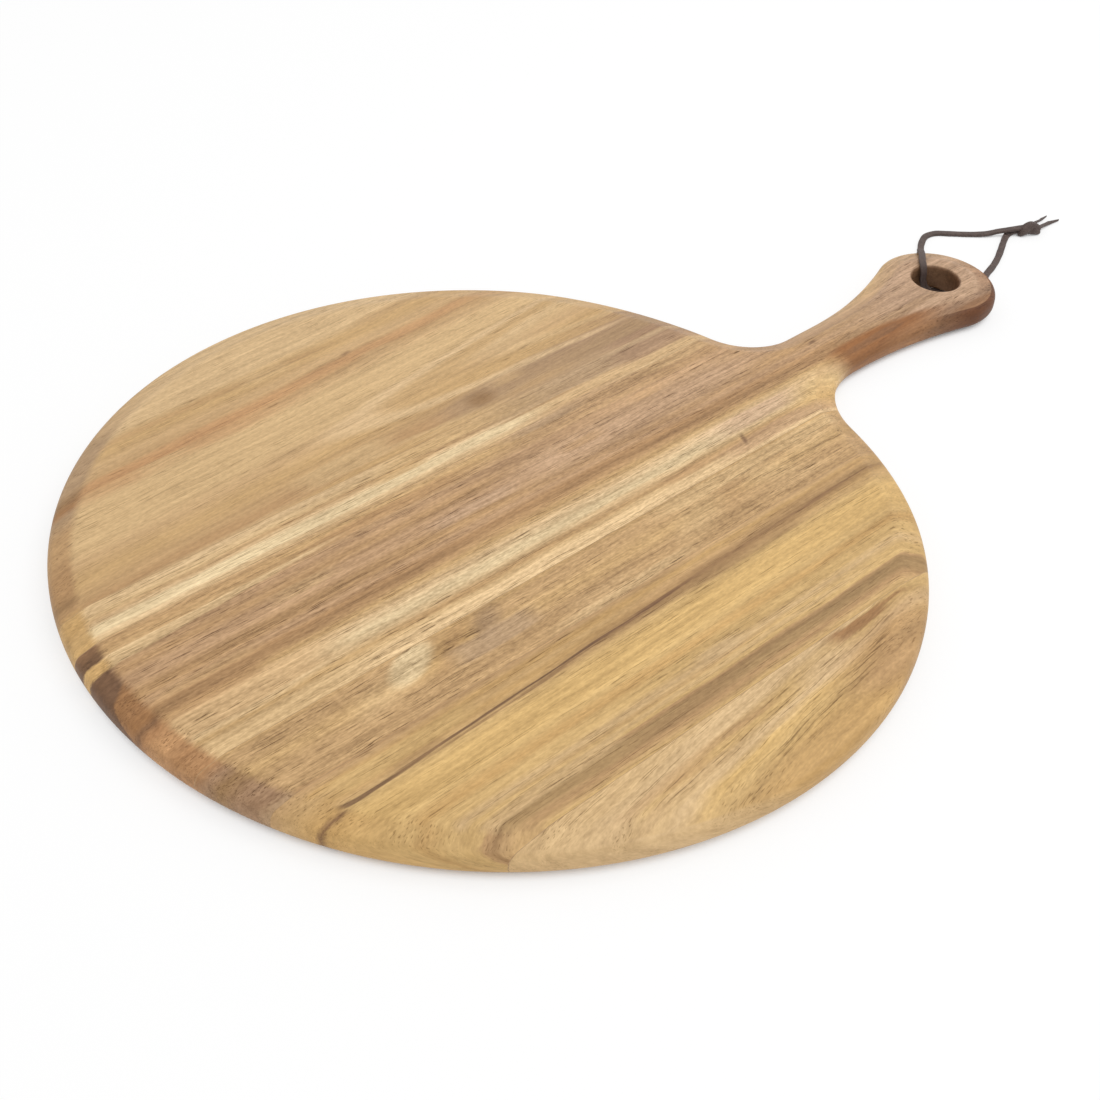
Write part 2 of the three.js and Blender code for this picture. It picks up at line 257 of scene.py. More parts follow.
def addKnot():
    length, width, height = knot["lineScale"]
    line = []
    for i in range(knot["lineSteps"] + 1):
        t = knot["endParameter"] * (2 * i / knot["lineSteps"] - 1)
        along = (t ** 5 - 10 * t) * length
        aside = (t ** 3 - 3 * t) * width
        above = (t ** 4 - 4 * t * t + knot["heightMiddle"]) * height
        line.append(Vector((along, aside, above)))
    shape = bmesh.new()
    for side in (-1, 1):
        rings = []
        for i, place in enumerate(line):
            tangent = (line[min(i + 1, len(line) - 1)] - line[max(i - 1, 0)]).normalized()
            upright = Vector((0, 0, 1)).lerp(place.normalized(), knot["strandTilt"])
            across = tangent.cross(upright).normalized()
            normal = across.cross(tangent)
            middle = place + across * (side * knot["strandOffset"])
            ring = []
            for k in range(knot["sectionSteps"]):
                angle = 2 * math.pi * k / knot["sectionSteps"]
                out = across * math.cos(angle) + normal * math.sin(angle)
                ring.append(middle + out * knot["strandRadius"])
            rings.append(ring)
        joinRings(shape, rings)
    piece = makeObject("thongKnot", shape)
    remesh = piece.modifiers.new("pullTight", "REMESH")
    remesh.mode = "VOXEL"
    remesh.voxel_size = knot["voxel"]
    smooth = piece.modifiers.new("soften", "SMOOTH")
    smooth.iterations = knot["smoothing"]
    settled = bpy.data.meshes.new_from_object(piece.evaluated_get(bpy.context.evaluated_depsgraph_get()))
    piece.modifiers.clear()
    piece.data = settled
    corners = [Vector(corner) for corner in piece.bound_box]
    low, high = corners[0], corners[6]
    scale = Matrix.Diagonal([want / (b - a) for want, a, b in zip(knot["size"], low, high)]).to_4x4()
    turn = Matrix.Rotation(math.radians(knot["turn"]), 4, "Z")
    settle = Matrix.Translation(knot["centre"]) @ turn @ scale @ Matrix.Translation((low + high) / -2)
    settled.transform(settle)
    shadeSmooth(piece, knot["sharpAngle"])
    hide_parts("thong_knot")
    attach(piece, "thong")
    return piece


# One lace, cut where the loop swings: over the handle's far edge and out under its tip
def addThong():
    route = [*thong["over"], *thong["wrap"], *thong["under"]]
    line, rings = laceRings(route, thong["width"], thong["thickness"])
    overEdge = len(thong["over"]) * thong["stepsPerSpan"]
    tipEdge = (len(thong["over"]) + len(thong["wrap"]) - 1) * thong["stepsPerSpan"]
    over = addLace("thongOver", rings[:overEdge + 1], "thong_over")
    wrap = addLace("thongWrap", rings[overEdge:tipEdge + 1], "thong_wrap")
    under = addLace("thongUnder", rings[tipEdge:], "thong_under")
    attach(wrap, "board")
    lumps = [addKnot()]
    for name, node in (("longTail", "thong_tail_long"), ("shortTail", "thong_tail_short")):
        _, tailRings = laceRings(thong[name + "Route"], *thong[name], cut=True)
        tail = addLace(name, tailRings, node)
        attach(tail, "thong")
        lumps.append(tail)
    for strand, part, pieces in ((over, line[:overEdge + 1], lumps), (under, line[tipEdge:], [])):
        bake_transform(strand)
    return [over, wrap, under, *lumps]


thongPieces = addThong()
print("thong laid:", len(thongPieces), "pieces")

# Board blank, with the CAD's outline and rounded edges at a finer step
boardShape = {
    "neckHalfFar": 0.0152,
    "neckHalfNear": 0.0189,
    "neckStraight": 0.005,
    "neckFilletFar": 0.028,
    "neckFilletNear": 0.046,
    "handleEndWidth": 0.0604,
    "topEdgeHeight": 0.00725,
    "topEdge": (0.009, 0.0024, 0.003),  # bevel width, bevel drop and width of the rounding below it
    "neckTopEdge": (0.008, 0.0032, 0.004),
    "neckBlend": 0.050,
    "neckBevelEnd": 0.010,
    "creaseSoft": 0.22,  # share of the bevel's width over which its crease is eased, on either side
    "discUnderRound": (0.010, 0.007),  # width and height of the quarter ellipse
    "handleUnderRound": (0.009, 0.006),
    "underBlend": 0.050,
    "edgeBand": 0.0005,
    "flatMargin": 0.0012,
    "holeDiameter": 0.0238,
    "holeToTip": 0.0321,
    "holeEase": 0.0016,
    "undersideLift": 0.0028,
    "undersideLiftLength": 0.116,
    "discSteps": 150,
    "filletSteps": 24,
    "sweepSteps": 24,
    "endSteps": 40,
    "roundSteps": 12,
    "holeSteps": 96,
    "holeEaseSteps": 6,
    "cutMargin": 0.005,
    "cutTolerance": 1e-7,
    "bevelMiddle": 0.6,  # share of the bevel at which it has one more ring
    "sharpAngle": 35,  # degrees
}
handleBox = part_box("handle_stave")
discRadius = -handleBox[0].x
tipX = handleBox[1].x
boardTop = handleBox[1].z


# Points of an arc with their outward directions
def arcPoints(centre, radius, start, stop, steps, outward):
    points = []
    for i in range(steps + 1):
        angle = start + (stop - start) * i / steps
        out = Vector((math.cos(angle), math.sin(angle)))
        points.append((Vector(centre) + out * radius, out * outward))
    return points


def filletEnd(fillet, neckHalf):
    return math.sqrt((discRadius + fillet) ** 2 - (neckHalf + fillet) ** 2)


def halfOutline(side):
    fillet = boardShape["neckFillet" + side]
    neckHalf = boardShape["neckHalf" + side]
    endRadius = boardShape["handleEndWidth"] / 2
    endX = tipX - endRadius
    filletX = filletEnd(fillet, neckHalf)
    meet = math.atan2(neckHalf + fillet, filletX)
    farEnd = filletEnd(boardShape["neckFilletFar"], boardShape["neckHalfFar"])
    nearEnd = filletEnd(boardShape["neckFilletNear"], boardShape["neckHalfNear"])
    sweepX = max(farEnd, nearEnd) + boardShape["neckStraight"]
    reach = endX - sweepX
    sweepRadius = (reach ** 2 + neckHalf ** 2 - endRadius ** 2) / (2 * (endRadius - neckHalf))
    turn = math.atan2(neckHalf + sweepRadius, -reach)
    quarter = math.pi / 2
    return [
        *arcPoints((0, 0), discRadius, math.pi, meet, boardShape["discSteps"], 1),
        *arcPoints((filletX, neckHalf + fillet), fillet, meet + math.pi, 3 * quarter,
                   boardShape["filletSteps"], -1)[1:],
        *arcPoints((sweepX, neckHalf + sweepRadius), sweepRadius, -quarter, turn - math.pi,
                   boardShape["sweepSteps"], -1),
        *arcPoints((endX, 0), endRadius, turn, 0, boardShape["endSteps"], 1)[1:],
    ]


def boardOutline():
    flip = Matrix(((1, 0), (0, -1)))
    near = [(flip @ place, flip @ out) for place, out in halfOutline("Near")]
    far = list(reversed(halfOutline("Far")))
    return near + far[1:-1]


# A ring of the lower edge: angle 0 leaves the flat face, a quarter turn is the rim
def lowerRing(outline, angle, extraInset=0.0):
    limit = boardTop - min(boardShape["topEdgeHeight"], (boardTop - boardShape["edgeBand"]) / 2)
    limit -= boardShape["edgeBand"]
    ring = []
    for place, out in outline:
        share = smoothStep(place.x, discRadius - boardShape["underBlend"], discRadius)
        disc = Vector(boardShape["discUnderRound"])
        width, height = disc.lerp(Vector(boardShape["handleUnderRound"]), share)
        spot = place - out * (width * (1 - math.sin(angle)) + extraInset)
        ring.append(Vector((spot.x, spot.y, min(height, limit) * (1 - math.cos(angle)))))
    return ring


# A ring of the top edge, by its share of the bevel (below 0 on the flat) and its turn of the rounding below
def upperRing(outline, slope, turn=0.0):
    height = min(boardShape["topEdgeHeight"], (boardTop - boardShape["edgeBand"]) / 2)
    endX = tipX - boardShape["handleEndWidth"] / 2 - boardShape["neckBevelEnd"]
    blend = boardShape["neckBlend"]
    soft = boardShape["creaseSoft"]
    eased = (slope + soft) ** 2 / (4 * soft) if abs(slope) < soft else max(slope, 0)
    ring = []
    for place, out in outline:
        leaving = smoothStep(place.x, discRadius - blend, discRadius)
        arriving = smoothStep(place.x, endX - blend, endX)
        disc = Vector(boardShape["topEdge"])
        bevel, drop, width = disc.lerp(Vector(boardShape["neckTopEdge"]), leaving * (1 - arriving))
        drop = min(drop, height / 2)
        lead = width * drop / bevel
        inset = bevel * (1 - slope) + width * (1 - turn) ** 2
        fall = drop * eased + 2 * turn * (1 - turn) * lead + turn ** 2 * (height - drop)
        spot = place - out * inset
        ring.append(Vector((spot.x, spot.y, boardTop - fall)))
    return ring


def holeCutter():
    easing = boardShape["holeEase"]
    wide = boardShape["holeDiameter"] / 2 + easing
    low = boardShape["undersideLift"] * (1 - boardShape["holeToTip"] / boardShape["undersideLiftLength"])
    steps = boardShape["holeEaseSteps"]
    profile = [(wide, -boardShape["cutMargin"])]
    for i in range(steps + 1):
        angle = i / steps * math.pi / 2
        profile.append((wide - easing * math.sin(angle), low + easing * (1 - math.cos(angle))))
    for i in range(steps, -1, -1):
        angle = i / steps * math.pi / 2
        profile.append((wide - easing * math.sin(angle), boardTop - easing * (1 - math.cos(angle))))
    profile.append((wide, boardTop + boardShape["cutMargin"]))
    holeX = tipX - boardShape["holeToTip"]
    rings = []
    for radius, level in profile:
        around = [2 * math.pi * k / boardShape["holeSteps"] for k in range(boardShape["holeSteps"])]
        rings.append([Vector((holeX + radius * math.cos(a), radius * math.sin(a), level)) for a in around])
    shape = bmesh.new()
    joinRings(shape, rings)
    return makeObject("holeCutter", shape)


def undersideCutter():
    margin = boardShape["cutMargin"]
    slope = boardShape["undersideLift"] / boardShape["undersideLiftLength"]
    startX = tipX - boardShape["undersideLiftLength"]
    endX = tipX + margin
    wedge = [(startX, 0), (startX, -margin), (endX, -margin), (endX, (endX - startX) * slope)]
    half = boardShape["handleEndWidth"] / 2 + margin
    shape = bmesh.new()
    joinRings(shape, [[Vector((x, y, z)) for x, z in wedge] for y in (-half, half)])
    return makeObject("undersideCutter", shape)


def boardBlank():
    outline = boardOutline()
    steps = boardShape["roundSteps"]
    turns = [i / steps for i in range(steps + 1)]
    soft = boardShape["creaseSoft"]
    rings = [lowerRing(outline, 0, boardShape["flatMargin"])]
    rings += [lowerRing(outline, turn * math.pi / 2) for turn in turns]
    rings += [upperRing(outline, 1, turn) for turn in reversed(turns)]
    slopes = (boardShape["bevelMiddle"], soft, soft / 2, 0, -soft / 2, -soft)
    rings += [upperRing(outline, slope) for slope in slopes]
    shape = bmesh.new()
    joinRings(shape, rings)
    blank = makeObject("boardBlank", shape)
    cutters = [undersideCutter(), holeCutter()]
    for cutter in cutters:
        cut = blank.modifiers.new(cutter.name, "BOOLEAN")
        cut.object = cutter
        cut.operation = "DIFFERENCE"
        cut.solver = "EXACT"
    shape = bmesh.new()
    shape.from_object(blank, bpy.context.evaluated_depsgraph_get())
    for used in (blank, *cutters):
        bpy.data.objects.remove(used)
    return shape


# The stretch of the blank between two planes across the grain
def sliceBlank(blank, fromY, toY):
    shape = blank.copy()
    for level, side in ((fromY, -1), (toY, 1)):
        everything = [*shape.verts, *shape.edges, *shape.faces]
        cut = bmesh.ops.bisect_plane(shape, geom=everything, dist=boardShape["cutTolerance"],
                                     plane_co=(0, level, 0), plane_no=(0, side, 0), clear_outer=True)
        rim = [part for part in cut["geom_cut"] if isinstance(part, bmesh.types.BMEdge)]
        if rim:
            bmesh.ops.edgeloop_fill(shape, edges=rim)
    return shape


staveNames = {
    "rim_stave_near": "rimStaveNear",
    "broad_stave_near": "broadStaveNear",
    "narrow_stave_near": "narrowStaveNear",
    "handle_stave": "handleStave",
    "narrow_stave_far": "narrowStaveFar",
    "broad_stave_far": "broadStaveFar",
}
glueNames = {f"glue_line_{i}": f"glueLine{i}" for i in range(1, 6)}


def addBoardPieces():
    blank = boardBlank()
    pieces = {}
    for node, name in {**staveNames, **glueNames}.items():
        low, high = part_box(node)
        piece = makeObject(name, sliceBlank(blank, low.y, high.y))
        shadeSmooth(piece, boardShape["sharpAngle"])
        even = piece.modifiers.new("evenShading", "WEIGHTED_NORMAL")
        even.keep_sharp = True
        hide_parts(node)
        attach(piece, "board")
        pieces[node] = piece
    blank.free()
    return pieces


boardPieces = addBoardPieces()
print("board divided:", len(boardPieces), "pieces")


# Node helpers
def linear(tone):
    steps = [value / 255 for value in tone]
    return [v / 12.92 if v <= 0.04045 else ((v + 0.055) / 1.055) ** 2.4 for v in steps] + [1.0]


def addNode(tree, kind, inputs=None, **settings):
    node = tree.nodes.new(kind)
    for name, value in settings.items():
        setattr(node, name, value)
    for name, value in (inputs or {}).items():
        if isinstance(value, bpy.types.NodeSocket):
            tree.links.new(value, node.inputs[name])
        else:
            node.inputs[name].default_value = value
    return node


def treeOf(*values):
    return next(value.id_data for value in values if isinstance(value, bpy.types.NodeSocket))


def linkAll(sockets, values):
    for name, value in values.items():
        value.id_data.links.new(value, sockets[name])


def calc(operation, first, second=0.0, clamp=False):
    settings = {"operation": operation, "use_clamp": clamp}
    return addNode(treeOf(first, second), "ShaderNodeMath", {0: first, 1: second}, **settings).outputs[0]


def plus(first, second):
    return calc("ADD", first, second)


def minus(first, second):
    return calc("SUBTRACT", first, second)


def times(first, second):
    return calc("MULTIPLY", first, second)


def ease(value, low, high, toLow=0.0, toHigh=1.0):
    inputs = {"Value": value, "From Min": low, "From Max": high, "To Min": toLow, "To Max": toHigh}
    return addNode(value.id_data, "ShaderNodeMapRange", inputs, interpolation_type="SMOOTHSTEP").outputs[0]


def mixColour(share, first, second, blend="MIX"):
    inputs = {0: share, 6: first, 7: second}
    tree = treeOf(share, first, second)
    return addNode(tree, "ShaderNodeMix", inputs, data_type="RGBA", blend_type=blend).outputs[2]


def vectorMath(operation, inputs):
    return addNode(inputs[0].id_data, "ShaderNodeVectorMath", inputs, operation=operation).outputs


def inMillimetres(spot):
    return vectorMath("SCALE", {0: spot, "Scale": 1000.0})[0]


def noiseField(place, stretch, detail=2.0, roughness=0.5):
    scaled = vectorMath("MULTIPLY", {0: place, 1: stretch})[0]
    inputs = {"Vector": scaled, "Scale": 1.0, "Detail": detail, "Roughness": roughness}
    return addNode(place.id_data, "ShaderNodeTexNoise", inputs).outputs[0]


# Noise drawn out along the grain, by its size along and across
def grainNoise(place, along, across, detail, roughness=0.5):
    return noiseField(place, (1 / along, 1 / across, 1 / across), detail, roughness)


socketKinds = {"Place": "NodeSocketVector", "Colour": "NodeSocketColor"}  # every other socket is a value


def newGroup(name, inputs, outputs):
    group = bpy.data.node_groups.new(name, "ShaderNodeTree")
    for way, labels in (("INPUT", inputs), ("OUTPUT", outputs)):
        for label in labels.split():
            kind = socketKinds.get(label, "NodeSocketFloat")
            group.interface.new_socket(label, in_out=way, socket_type=kind)
    return group, group.nodes.new("NodeGroupInput").outputs, group.nodes.new("NodeGroupOutput").inputs


def placeGroup(tree, group, inputs):
    return addNode(tree, "ShaderNodeGroup", inputs, node_tree=group).outputs


def newMaterial(name):
    material = bpy.data.materials.new(name)
    material.use_nodes = True
    return material, material.node_tree, material.node_tree.nodes["Principled BSDF"].inputs


# Wood. Its groups work in millimetres, along (x) and across (y) the grain.
woodLook = {
    "slowNoise": (260, 50, 1),  # size along and across the grain, detail and, where it is given, roughness
    "quickNoise": (55, 14, 2),
    "raggedNoise": (50, 1.1, 2),
    "longFibre": (52, 2.4, 5, 0.72),
    "shortFibre": (2.6, 0.9, 1, 0.6),
    "poreNoise": (13, 0.38, 0),
    "openNoise": (70, 8, 1),
    "streakNoise": (105, 5.5, 3, 0.6),
    "rippleNoise": (5, 9, 2),
    "drift": (4.0, 2.2),  # how far the grain wanders, slowly and quickly
    "flatSawn": (88, 124),  # distance from the middle over which the rings come to lean
    "ragged": 2.6,  # wander of single fibres
    "wornDepth": (-1.2, -0.1),  # from the top face, where the rim begins
    "wornRagged": 0.25,
    "endTurn": (0.04, 0.16),  # X of the normal, from face to end grain
    "edgeTurn": (0.94, 0.985),  # Z of the normal, from edge to face
    "fibres": (0.66, 0.34),  # shares of the long and the short ones
    "pores": (0.63, 0.74),
    "openWood": (0.36, 0.58),
    "fineGrain": 1.5,
    "poreShade": 0.40,
    "darkest": 0.3,
    "warmth": (1.12, 1.28),  # powers of the shade in green and blue
    "roughness": 0.46,
    "fibreRoughness": 0.3,
    "endRoughness": 0.06,
    "poreRoughness": 0.15,
    "poreDepth": 0.6,
    "bump": {"Strength": 0.3, "Distance": 0.0001},
    "specular": 0.28,
    "endsReach": (-60, 40, 0.9, 0.12),  # end grain shows most at -X: two places and the share at each
    "handleFrom": (192, 214),
    "handleRimShare": 0.95,
    "innerEndsSoft": 1.5,
}


# Place in the wood, with masks for the end grain and for every edge
def makeWoodField():
    group, given, gives = newGroup("woodField", "Slope Lean Wander Seed",
                                   "Place Along Across Level Side Depth Ends Edges")
    spot = addNode(group, "ShaderNodeTexCoord").outputs
    place = inMillimetres(spot["Object"])
    along, side, height = addNode(group, "ShaderNodeSeparateXYZ", {0: place}).outputs
    shift = addNode(group, "ShaderNodeCombineXYZ", {axis: given["Seed"] for axis in range(3)}).outputs[0]
    seeded = vectorMath("ADD", {0: place, 1: shift})[0]
    slow = minus(grainNoise(seeded, *woodLook["slowNoise"]), 0.5)
    quick = minus(grainNoise(seeded, *woodLook["quickNoise"]), 0.5)
    slowDrift, quickDrift = woodLook["drift"]
    drift = plus(times(slow, slowDrift), times(quick, quickDrift))
    depth = minus(height, boardTop * 1000)
    flatSawn = ease(calc("ABSOLUTE", side), *woodLook["flatSawn"])
    leaning = times(times(depth, given["Lean"]), flatSawn)
    across = plus(plus(side, times(drift, given["Wander"])), leaning)
    level = minus(across, times(along, given["Slope"]))
    grainPlace = addNode(group, "ShaderNodeCombineXYZ", {0: along, 1: level, 2: height}).outputs[0]
    grainPlace = vectorMath("ADD", {0: grainPlace, 1: shift})[0]
    ragged = minus(grainNoise(grainPlace, *woodLook["raggedNoise"]), 0.5)
    ragged = times(ragged, woodLook["ragged"])
    facing = addNode(group, "ShaderNodeSeparateXYZ", {0: spot["Normal"]}).outputs
    rimStart = plus(depth, times(ragged, woodLook["wornRagged"]))
    worn = ease(rimStart, *woodLook["wornDepth"], 1.0, 0.0)
    turned = ease(calc("ABSOLUTE", facing[0]), *woodLook["endTurn"])
    rounded = ease(facing[2], *woodLook["edgeTurn"], 1.0, 0.0)
    linkAll(gives, {"Place": grainPlace, "Along": along, "Side": side, "Depth": depth,
                    "Across": plus(across, ragged), "Level": plus(level, ragged),
                    "Ends": times(turned, worn), "Edges": times(rounded, worn)})
    return group


# Long streaks, long and short fibres, open pores where the wood is open, and ripple across the grain
def makeWoodGrain():
    group, given, gives = newGroup("woodGrain", "Place", "Streak Fibre Pores Ripple")
    place = given["Place"]
    longShare, shortShare = woodLook["fibres"]
    fibre = times(grainNoise(place, *woodLook["longFibre"]), longShare)
    short = times(grainNoise(place, *woodLook["shortFibre"]), shortShare)
    pore = ease(grainNoise(place, *woodLook["poreNoise"]), *woodLook["pores"])
    openness = ease(grainNoise(place, *woodLook["openNoise"]), *woodLook["openWood"])
    streak = grainNoise(place, *woodLook["streakNoise"])
    ripple = grainNoise(place, *woodLook["rippleNoise"])
    linkAll(gives, {"Streak": streak, "Fibre": plus(fibre, short), "Pores": times(pore, openness),
                    "Ripple": ripple})
    return group


# A line or band along the grain: middle + slope x + bend x^2, between two places, tapering if asked
def makeGrainLine():
    group, given, gives = newGroup(
        "grainLine", "Along Across Middle Slope Bend Width Soft From To Fade Taper", "Mask")
    along = given["Along"]
    rising = plus(given["Slope"], times(given["Bend"], along))
    middle = plus(given["Middle"], times(rising, along))
    off = calc("ABSOLUTE", minus(given["Across"], middle))
    whole = minus(given["To"], given["From"])
    gone = calc("DIVIDE", minus(along, given["From"]), whole, clamp=True)
    kept = minus(1.0, times(gone, given["Taper"]))
    half = times(times(given["Width"], 0.5), kept)
    band = ease(off, half, plus(half, given["Soft"]), 1.0, 0.0)
    entry = ease(along, given["From"], plus(given["From"], given["Fade"]))
    leave = ease(along, minus(given["To"], given["Fade"]), given["To"], 1.0, 0.0)
    linkAll(gives, {"Mask": times(band, times(entry, leave))})
    return group


# A soft oval patch, slanted if asked
def makeGrainPatch():
    group, given, gives = newGroup("grainPatch", "Along Across X Y RadiusX RadiusY Soft Slant", "Mask")
    rise = minus(given["Across"], given["Y"])
    run = minus(minus(given["Along"], given["X"]), times(rise, given["Slant"]))
    shares = []
    for offset, radius in ((run, "RadiusX"), (rise, "RadiusY")):
        share = calc("ABSOLUTE", calc("DIVIDE", offset, given[radius]))
        shares.append(calc("POWER", share, 2.0))
    reach = calc("SQRT", plus(*shares))
    low = minus(1.0, given["Soft"])
    high = plus(1.0, given["Soft"])
    linkAll(gives, {"Mask": ease(reach, low, high, 1.0, 0.0)})
    return group


# A growth ring cut flat: a parabola along the grain that opens to +X
def makeGrainArch():
    group, given, gives = newGroup("grainArch", "Along Across X Y Slope Spread Width Soft To Fade", "Mask")
    run = minus(given["Along"], given["X"])
    rise = minus(minus(given["Across"], given["Y"]), times(run, given["Slope"]))
    rise = calc("DIVIDE", rise, given["Spread"])
    off = calc("ABSOLUTE", minus(times(rise, rise), run))
    half = times(given["Width"], 0.5)
    ring = ease(off, half, plus(half, given["Soft"]), 1.0, 0.0)
    leave = ease(given["Along"], minus(given["To"], given["Fade"]), given["To"], 1.0, 0.0)
    linkAll(gives, {"Mask": times(ring, leave)})
    return group


# Oiled satin finish over the wood's own colour; darker wood is also warmer
def makeOiledFinish():
    group, given, gives = newGroup(
        "oiledFinish", "Colour Streak Fibre Pores Ripple Ends Contrast Streaks Figure",
        "Colour Roughness Height")
    pores = given["Pores"]
    fibre = minus(given["Fibre"], 0.5)
    fine = minus(times(fibre, woodLook["fineGrain"]), times(pores, woodLook["poreShade"]))
    streak = times(minus(given["Streak"], 0.5), given["Streaks"])
    ripple = times(minus(given["Ripple"], 0.5), given["Figure"])
    shade = plus(times(fine, given["Contrast"]), plus(streak, ripple))
    shade = calc("MAXIMUM", plus(shade, 1.0), woodLook["darkest"])
    green, blue = [calc("POWER", shade, power) for power in woodLook["warmth"]]
    warm = addNode(group, "ShaderNodeCombineXYZ", {0: shade, 1: green, 2: blue}).outputs[0]
    rough = plus(times(fibre, woodLook["fibreRoughness"]), woodLook["roughness"])
    rough = plus(rough, times(given["Ends"], woodLook["endRoughness"]))
    rough = plus(rough, times(pores, woodLook["poreRoughness"]))
    height = minus(given["Fibre"], times(pores, woodLook["poreDepth"]))
    colour = mixColour(1.0, given["Colour"], warm, "MULTIPLY")
    linkAll(gives, {"Colour": colour, "Roughness": rough, "Height": height})
    return group


woodField = makeWoodField()
woodGrain = makeWoodGrain()
grainLine = makeGrainLine()
grainPatch = makeGrainPatch()
grainArch = makeGrainArch()
oiledFinish = makeOiledFinish()

# The board's wood tones, 0 to 255
woodTones = {
    "cream": (233, 206, 160), "ivory": (236, 201, 151), "pale": (227, 193, 146),
    "wheat": (218, 184, 136), "straw": (215, 180, 130), "golden": (219, 180, 116),
    "honey": (211, 174, 115), "amber": (208, 166, 105), "sand": (208, 171, 123),
    "tan": (205, 167, 114), "orange": (199, 159, 102), "fawn": (198, 160, 112),
    "dusty": (204, 168, 134), "dusk": (191, 156, 127), "rose": (194, 155, 115),
    "redwood": (199, 149, 101), "brown": (189, 149, 103), "greyBrown": (179, 147, 112),
    "russet": (178, 137, 93), "olive": (174, 140, 94), "copper": (181, 132, 88),
    "dusky": (168, 132, 101), "rust": (160, 114, 71), "sienna": (149, 96, 50),
    "dark": (155, 119, 79), "walnut": (130, 93, 63), "umber": (106, 74, 51),
    "mahogany": (98, 55, 26),
}


# A line's reach is where it starts and stops along the grain, and the length over which it fades at both ends
def line(tone, strength, middle, width, soft, reach, slope=0.0, bend=0.0, taper=0.0):
    values = {"Middle": middle, "Width": width, "Soft": soft, "Slope": slope, "Bend": bend, "Taper": taper}
    values.update(zip(("From", "To", "Fade"), reach))
    return {"group": grainLine, "tone": tone, "strength": strength, "values": values}


def patch(tone, strength, x, y, radiusX, radiusY, soft, slant=0.0):
    values = {"X": x, "Y": y, "RadiusX": radiusX, "RadiusY": radiusY, "Soft": soft, "Slant": slant}
    return {"group": grainPatch, "tone": tone, "strength": strength, "values": values}


def arch(tone, strength, x, y, slope, spread, width, soft, toX, fade):
    values = {"X": x, "Y": y, "Slope": slope, "Spread": spread, "Width": width, "Soft": soft}
    values.update({"To": toX, "Fade": fade})
    return {"group": grainArch, "tone": tone, "strength": strength, "values": values}


# Bands are tones by place across the grain, ends the same on the rim's end grain at -X, marks lie on top in
# order. Millimetres. Contrast is the fine grain's on the face and on the rim, figure the ripple across it.
staveLooks = {}
staveLooks["broad_stave_far"] = {
    "seed": 110, "slope": 0.05, "lean": -0.5, "wander": 1.6,
    "contrast": (0.82, 0.7), "streaks": 0.36, "figure": 0.09,
    "bands": {44: "brown", 57: "tan", 60: "brown", 64: "brown", 68: "fawn", 76: "tan", 84: "sand",
              92: "straw", 112: "straw", 117: "sand", 120: "fawn", 126: "fawn", 131: "sand", 136: "tan",
              140: "tan", 146: "wheat", 162: "wheat", 178: "straw"},
    "ends": {44: "orange", 55: "orange", 59: "brown", 62.5: "dark", 68: "russet", 76: "russet",
             87: "brown", 97: "brown", 108: "greyBrown", 112: "rust", 117: "dark", 124: "greyBrown",
             138: "greyBrown", 178: "tan"},
    "marks": [
        line("fawn", 0.5, 131, 2.5, 4, (-170, -30, 50), 0.10),
        line("redwood", 0.65, 124, 1.8, 3.2, (-165, 130, 50), 0.06),
        line("redwood", 0.45, 118.5, 5, 5, (-150, 10, 60), 0.04),
        line("brown", 0.5, 139, 1.0, 2, (-140, 30, 25), 0.03),
        line("fawn", 0.5, 142, 2.5, 3, (30, 140, 25), 0.06),
        line("wheat", 0.6, 147, 2.0, 3, (-130, 20, 25), 0.05),
        patch("walnut", 0.55, 24, 129, 2.2, 1.1, 0.9, 1.0),
        line("greyBrown", 0.85, 53, 30, 1.8, (26, 260, 42), 0.055),
        line("dark", 0.25, 60, 5, 5, (40, 190, 30), 0.03),
        line("greyBrown", 0.6, 62, 8, 3, (14, 70, 25), 0.03),
        line("straw", 0.8, 63, 8, 2.5, (-60, 6, 20)),
        line("wheat", 0.5, 56.5, 2, 2, (-190, -40, 40), 0.02),
        line("straw", 0.6, 60.2, 0.9, 1.3, (-12, 44, 16), -0.05),
        line("straw", 0.55, 57.0, 0.8, 1.2, (-4, 66, 20), -0.03),
        patch("fawn", 0.6, 76, 57, 20, 2.4, 0.8),
        patch("dark", 1.0, 49, 63.5, 7, 4.6, 0.8),
        line("straw", 0.6, 113, 4, 2.5, (-104, -64, 16)),
        line("straw", 0.6, 138, 4, 2.5, (-36, 6, 16)),
        line("tan", 0.6, 79, 5, 3, (-34, 8, 16)),
        line("sand", 0.7, 68, 4, 2, (54, 84, 14)),
        line("sand", 0.6, 121, 4, 2.5, (20, 54, 14)),
        line("dusky", 0.75, 51, 14, 2, (110, 200, 24)),
        line("dusky", 0.65, 71, 6, 3, (90, 200, 30), 0.02),
        line("pale", 0.6, 87, 6, 4, (16, 130, 20), 0.13),
        arch("pale", 0.8, -7, 83.5, 0.05, 1.65, 10, 26, 170, 60),
        arch("tan", 0.75, 36, 86, 0.05, 1.6, 22, 30, 180, 60),
        arch("wheat", 0.55, 86, 89, 0.05, 1.6, 6, 22, 190, 50),
    ],
}
